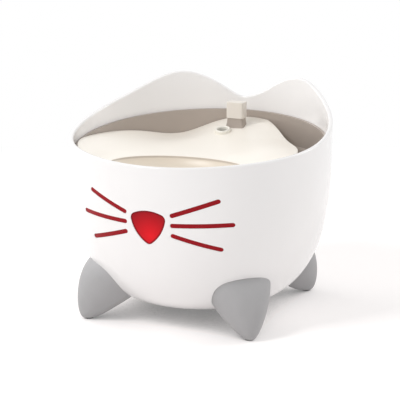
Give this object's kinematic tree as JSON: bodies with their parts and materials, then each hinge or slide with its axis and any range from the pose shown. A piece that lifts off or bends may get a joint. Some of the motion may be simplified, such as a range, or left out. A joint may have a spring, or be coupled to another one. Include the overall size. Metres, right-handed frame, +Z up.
{
  "type": "pet water fountain",
  "caption": "Round drinking fountain bowl with cat-ear rim, lit nose and whiskers, lift-off tray with shallow pool, filter, pump and soft conical feet.",
  "frame": {"origin": "on the ground, under the bowl's upright axis", "axes": "+Z up, -Y the way the face looks, +X to the right of someone facing the fountain"},
  "size_m": [0.22, 0.22, 0.186],
  "materials": {
    "shell_white": "glossy moulded",
    "tub_taupe": "satin moulded",
    "tray_cream": "satin moulded",
    "ring_cream": "satin moulded",
    "cap_beige": "satin moulded",
    "foot_grey": "soft matte",
    "pad_rubber": "soft matte",
    "lens_red": "translucent, lit from behind",
    "lamp_white": "plain",
    "led_pale": "clear lens",
    "circuit_board": "solder mask",
    "bright_steel": "brushed",
    "seal_rubber": "soft matte",
    "port_black": "fine texture",
    "pump_grey": "fine texture",
    "pump_pale": "fine texture",
    "motor_iron": "laminated",
    "winding_copper": "enamelled wire",
    "magnet_dark": "sintered",
    "shaft_ceramic": "polished",
    "filter_frame": "plain",
    "foam_white": "open-cell foam",
    "carbon_grey": "felt over granules"
  },
  "bodies": {
    "base": {"bowl_shell": "shell_white", "reservoir_tub": "tub_taupe", "foot_pads": "pad_rubber", "foot_screws": "bright_steel", "nose_lens": "lens_red", "whisker_lens_left": "lens_red", "whisker_lens_right": "lens_red", "light_box": "lamp_white", "led_board": "circuit_board", "face_leds": "led_pale", "led_board_screws": "bright_steel", "level_probes": "bright_steel", "probe_grommets": "seal_rubber", "power_port": "port_black", "port_bezel": "seal_rubber", "control_board": "circuit_board", "control_board_screws": "bright_steel", "foot_front_left": "foot_grey", "foot_front_right": "foot_grey", "foot_rear_left": "foot_grey", "foot_rear_right": "foot_grey"},
    "tray": {"drinking_tray": "tray_cream", "outlet_ring": "ring_cream", "riser_tube": "filter_frame", "riser_seal": "seal_rubber", "post_base": "tub_taupe", "post_screw": "bright_steel"},
    "cap": {"post_cap": "cap_beige"},
    "filter": {"filter_housing": "filter_frame", "filter_foam": "foam_white", "carbon_filter": "carbon_grey", "filter_lid": "filter_frame"},
    "pump": {"pump_housing": "pump_grey", "pump_end_plate": "pump_grey", "intake_cover": "pump_pale", "stator_core": "motor_iron", "stator_coil": "winding_copper", "impeller_shaft": "shaft_ceramic", "shaft_bushes": "seal_rubber", "suction_cups": "seal_rubber"},
    "rotor": {"rotor_magnet": "magnet_dark", "impeller": "pump_pale"},
    "dial": {"flow_dial": "pump_grey"}
  },
  "joints": [
    {"name": "tray_lift", "type": "slide", "parent": "base", "child": "tray", "axis": [0, 0, 1], "range_m": [0, 0.12]},
    {"name": "cap_lift", "type": "slide", "parent": "tray", "child": "cap", "axis": [0, 0, 1], "range_m": [0, 0.03]},
    {"name": "filter_lift", "type": "slide", "parent": "base", "child": "filter", "axis": [0, 0, 1], "range_m": [0, 0.07]},
    {"name": "pump_lift", "type": "slide", "parent": "base", "child": "pump", "axis": [0, 0, 1], "range_m": [0, 0.03]},
    {"name": "rotor_spin", "type": "hinge", "parent": "pump", "child": "rotor", "pos_m": [-0.005, 0.03, 0.06], "axis": [0, 1, 0], "continuous": true},
    {"name": "dial_turn", "type": "hinge", "parent": "pump", "child": "dial", "pos_m": [-0.005, 0.05, 0.06], "axis": [0, 1, 0], "range_deg": [0, 90]}
  ],
  "couplings": [
    {"joint": "filter_lift", "follows": "tray_lift", "ratio": 0.5},
    {"joint": "pump_lift", "follows": "tray_lift", "ratio": 0.2}
  ]
}
